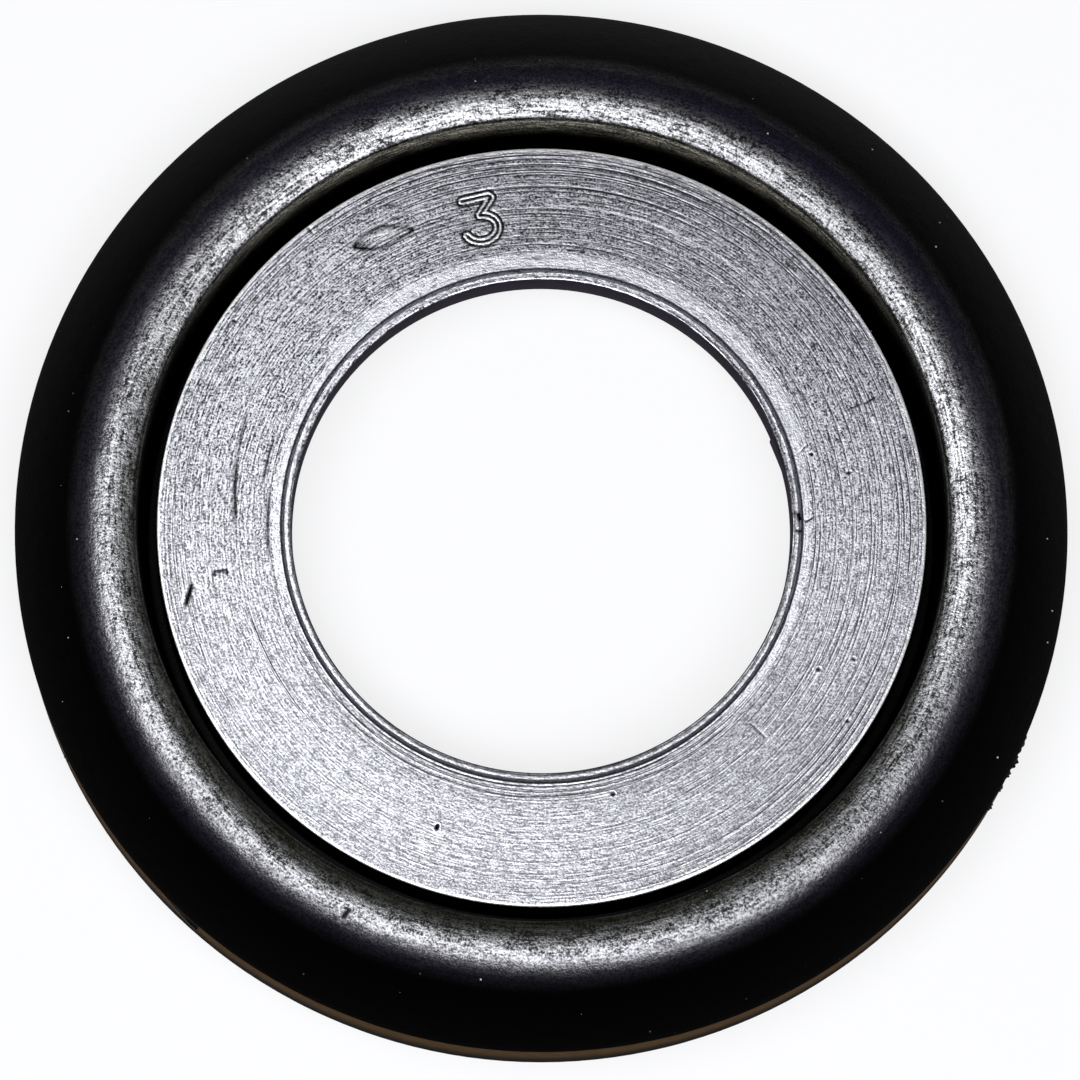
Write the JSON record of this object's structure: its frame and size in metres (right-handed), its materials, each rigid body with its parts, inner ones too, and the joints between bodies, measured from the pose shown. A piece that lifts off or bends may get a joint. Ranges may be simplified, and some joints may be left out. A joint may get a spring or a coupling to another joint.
{
  "type": "fuel filler neck seal",
  "caption": "Round moulded rubber seal with a flat collar round a pipe bore, a deep narrow groove for a tank neck's rim, and a rolled outer bead above a straight skirt.",
  "frame": {"origin": "centre of the flat underside, on the ring's axis", "axes": "+Z along the ring's axis, out of the face with the collar, the groove and the bead"},
  "size_m": [0.08, 0.08, 0.0127],
  "materials": {
    "black_rubber": "moulded black rubber, satin on the turned collar and on the crest of the bead"
  },
  "bodies": {
    "root": {"filler_neck_seal": "black_rubber"}
  },
  "joints": []
}
